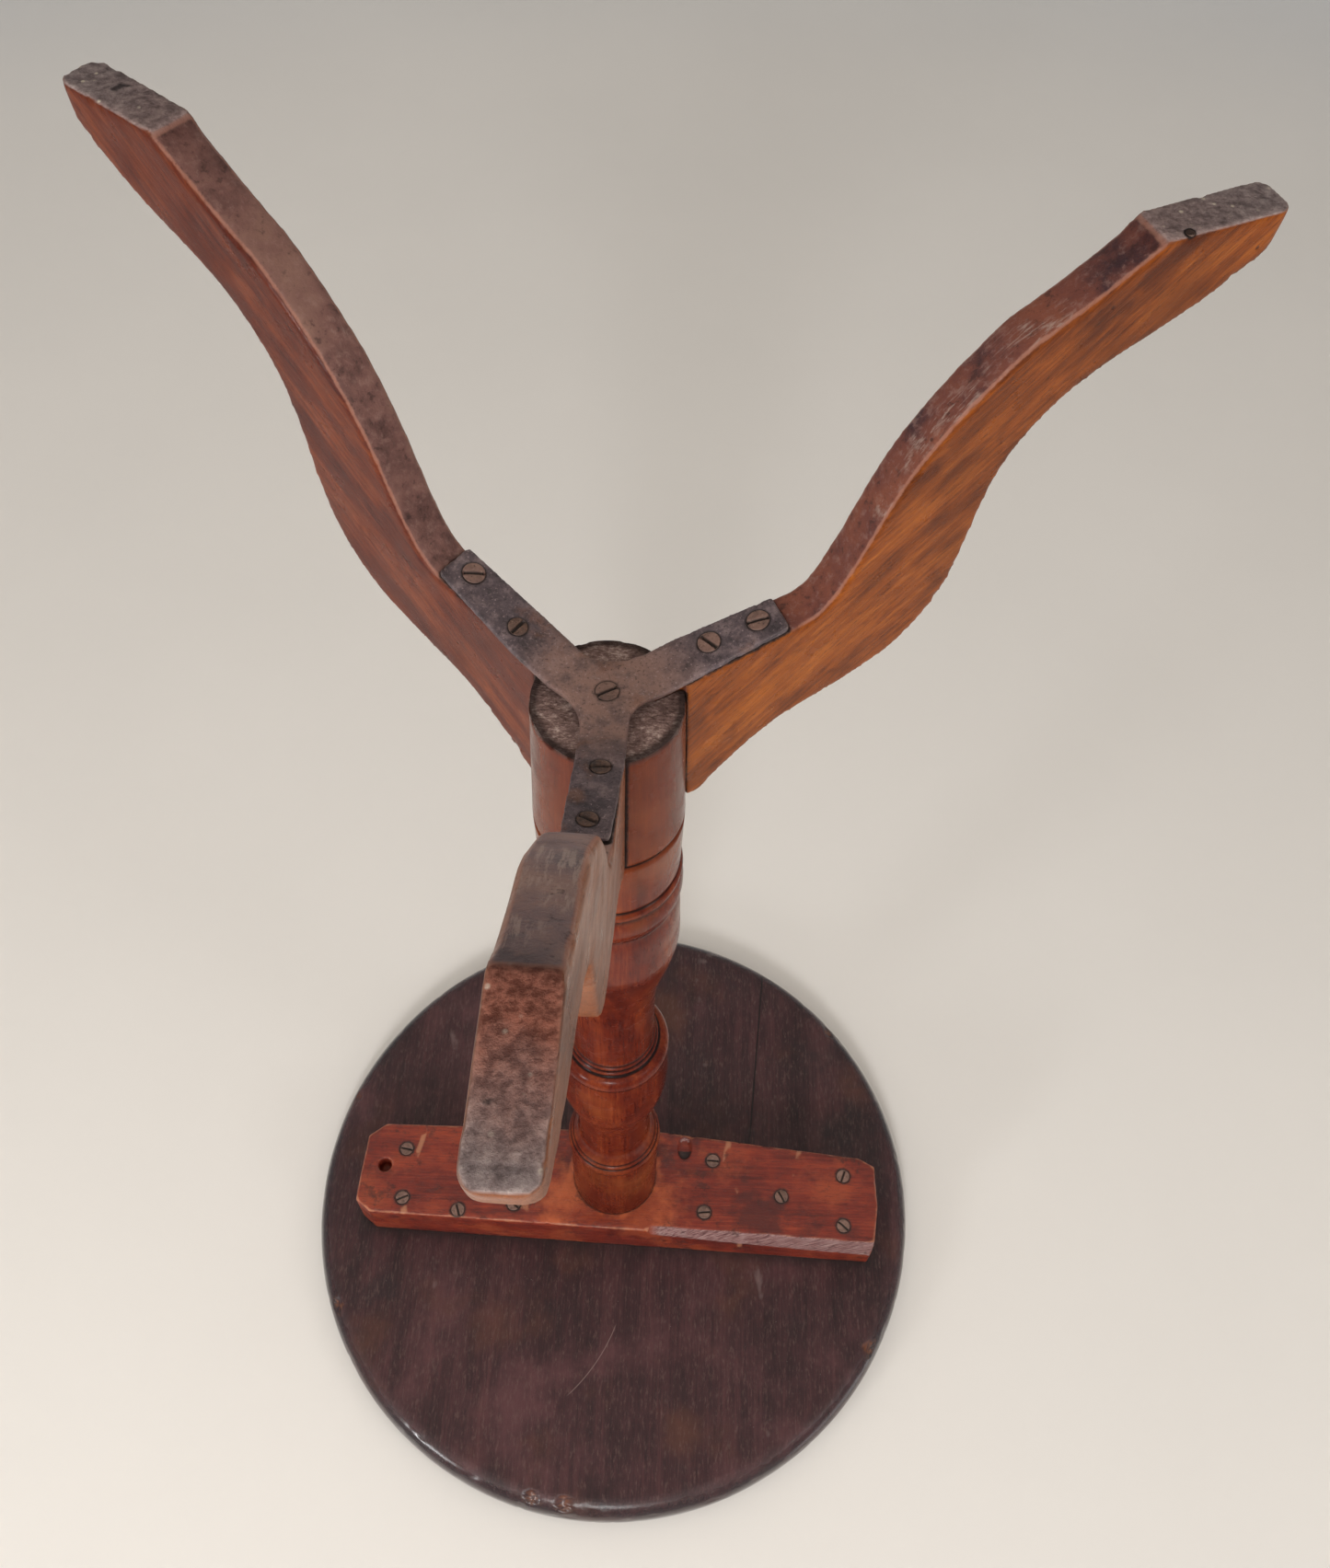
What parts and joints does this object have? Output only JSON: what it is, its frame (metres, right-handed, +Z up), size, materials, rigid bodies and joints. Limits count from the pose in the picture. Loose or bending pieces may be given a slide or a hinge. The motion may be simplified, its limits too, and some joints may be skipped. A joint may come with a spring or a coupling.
{
  "type": "tripod table",
  "caption": "Small round wine table: turned column on sawn dovetailed legs with an iron plate under the hub, and a screwed bearer under the top.",
  "frame": {"origin": "on the floor, under the column's axis", "axes": "+Z up along the column, -Y towards the front leg, +X along the bearer"},
  "size_m": [0.4037, 0.423, 0.721],
  "materials": {
    "top_wood": "old dark polish, dull underneath",
    "bearer_wood": "reddish mahogany, worn",
    "column_wood": "glossy french polish",
    "leg_wood": "worn polish, scuffed under sides",
    "hidden_wood": "bare",
    "plate_iron": "rusty",
    "screw_iron": "rusty"
  },
  "bodies": {
    "root": {"bearer": "bearer_wood", "bearer_screw_01": "screw_iron", "bearer_screw_02": "screw_iron", "bearer_screw_03": "screw_iron", "bearer_screw_04": "screw_iron", "bearer_screw_05": "screw_iron", "bearer_screw_06": "screw_iron", "bearer_screw_07": "screw_iron", "bearer_screw_08": "screw_iron", "bearer_screw_09": "screw_iron", "bearer_screw_10": "screw_iron", "column": "column_wood", "leg_front": "leg_wood", "leg_left": "leg_wood", "leg_right": "leg_wood", "plate_screw_centre": "screw_iron", "plate_screw_front_1": "screw_iron", "plate_screw_front_2": "screw_iron", "plate_screw_left_1": "screw_iron", "plate_screw_left_2": "screw_iron", "plate_screw_right_1": "screw_iron", "plate_screw_right_2": "screw_iron", "sole_brad": "screw_iron", "spider_plate": "plate_iron", "table_top": "top_wood", "tenon_wedge": "hidden_wood"}
  },
  "joints": []
}
